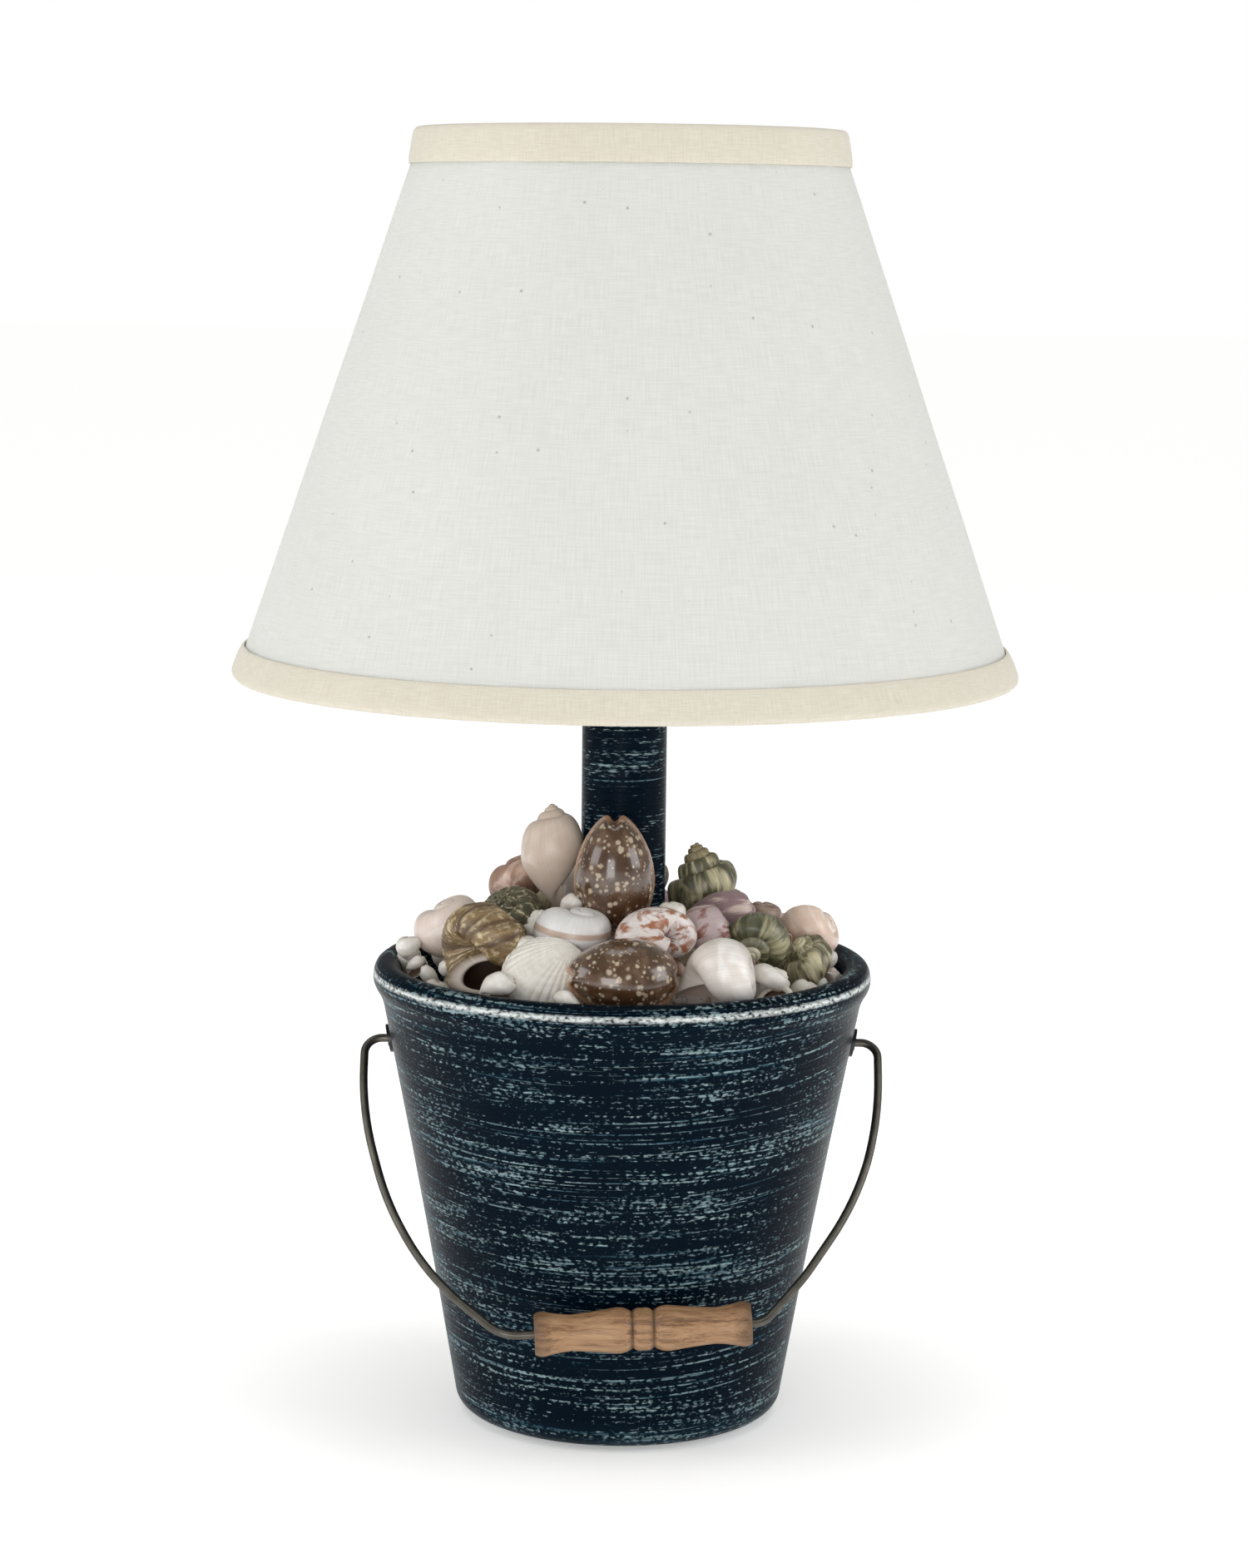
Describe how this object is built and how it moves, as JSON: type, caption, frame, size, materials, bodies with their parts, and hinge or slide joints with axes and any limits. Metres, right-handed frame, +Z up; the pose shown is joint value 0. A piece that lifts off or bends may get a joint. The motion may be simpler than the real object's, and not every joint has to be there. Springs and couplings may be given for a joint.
{
  "type": "bucket-base table lamp",
  "caption": "Table lamp on a flared sand bucket heaped with sea shells, with a swinging bail handle and wooden grip, a column, a harp and a cone shade.",
  "frame": {"origin": "centre of the foot, on the table", "axes": "+Z up through the column, -Y the front where the handle hangs, +X to the right seen from the front"},
  "size_m": [0.3618, 0.3618, 0.596],
  "materials": {
    "brushed_paint": "satin",
    "column_paint": "satin",
    "green_felt": "matte",
    "foam_filling": "matte",
    "zinc_steel": "satin",
    "black_enamel": "satin",
    "black_nylon": "satin",
    "bail_steel": "satin",
    "turned_beech": "satin",
    "lamp_brass": "polished",
    "fibre_liner": "matte",
    "moulded_phenolic": "satin",
    "thread_aluminium": "satin",
    "frosted_glass": "matte",
    "shade_linen": "matte",
    "shade_tape": "matte",
    "white_wire": "satin",
    "cowrie_enamel": "gloss",
    "pink_shell": "satin",
    "olive_shell": "satin",
    "white_shell": "satin",
    "mauve_shell": "gloss"
  },
  "bodies": {
    "base": {"base_felt": "green_felt", "bucket_body": "brushed_paint", "bottom_washer": "zinc_steel", "bottom_nut": "zinc_steel", "cord_bushing": "black_nylon", "threaded_rod": "zinc_steel", "column_tube": "column_paint", "column_locator": "zinc_steel", "column_cap": "lamp_brass", "filler_mound": "foam_filling", "ear_left": "black_enamel", "ear_right": "black_enamel", "harp_saddle": "lamp_brass", "saddle_nut": "lamp_brass", "harp_wire": "lamp_brass", "harp_stud": "lamp_brass", "socket_cap": "lamp_brass", "socket_shell": "lamp_brass", "socket_liner": "fibre_liner", "socket_interior": "moulded_phenolic", "center_contact": "lamp_brass", "screw_shell": "thread_aluminium", "cowrie_upright": "cowrie_enamel", "cowrie_front": "cowrie_enamel", "fig_shell": "pink_shell", "brown_snail": "pink_shell", "beaded_turban": "olive_shell", "olive_turban": "olive_shell", "pink_moon": "pink_shell", "banded_bonnet": "white_shell", "white_drupe": "white_shell", "cockle": "white_shell", "blotched_olive": "mauve_shell", "mauve_cowrie": "mauve_shell", "purple_cowrie": "mauve_shell", "spire_turban": "olive_shell", "cream_snail": "white_shell", "peach_moon": "pink_shell", "striped_turban": "olive_shell", "knobbed_turban": "olive_shell", "grey_snail": "white_shell", "white_moon": "white_shell", "small_white_shells": "white_shell", "back_shells": "white_shell"},
    "bail": {"bail_wire": "bail_steel"},
    "grip": {"bail_grip": "turned_beech"},
    "shade": {"shade_frame": "white_wire", "shade_bottom_ring": "white_wire", "shade_panel": "shade_linen", "shade_trim_top": "shade_tape", "shade_trim_bottom": "shade_tape"},
    "finial": {"finial": "lamp_brass"},
    "ferrule_left": {"harp_ferrule_left": "lamp_brass"},
    "ferrule_right": {"harp_ferrule_right": "lamp_brass"},
    "switch": {"switch_stem": "lamp_brass", "switch_knob": "moulded_phenolic"},
    "bulb": {"bulb_contact": "lamp_brass", "bulb_base": "thread_aluminium", "bulb_glass": "frosted_glass"}
  },
  "joints": [
    {"name": "bail_swing", "type": "hinge", "parent": "base", "child": "bail", "pos_m": [0, 0, 0.1756], "axis": [-1, 0, 0], "range_deg": [0, 126]},
    {"name": "grip_spin", "type": "hinge", "parent": "bail", "child": "grip", "pos_m": [0.011, -0.09757, 0.06532], "axis": [0.9977, 0.0446, 0.0505], "continuous": true},
    {"name": "shade_spin", "type": "hinge", "parent": "base", "child": "shade", "pos_m": [0, 0, 0.5651], "axis": [0, 0, 1], "continuous": true},
    {"name": "finial_spin", "type": "hinge", "parent": "base", "child": "finial", "pos_m": [0, 0, 0.57], "axis": [0, 0, 1], "continuous": true},
    {"name": "ferrule_left_slide", "type": "slide", "parent": "base", "child": "ferrule_left", "axis": [0, 0, 1], "range_m": [0, 0.01]},
    {"name": "ferrule_right_slide", "type": "slide", "parent": "base", "child": "ferrule_right", "axis": [0, 0, 1], "range_m": [0, 0.01]},
    {"name": "switch_turn", "type": "hinge", "parent": "base", "child": "switch", "pos_m": [0, -0.02, 0.383], "axis": [0, -1, 0], "continuous": true},
    {"name": "bulb_screw", "type": "hinge", "parent": "base", "child": "bulb", "pos_m": [0, 0, 0.41], "axis": [0, 0, 1], "continuous": true}
  ]
}
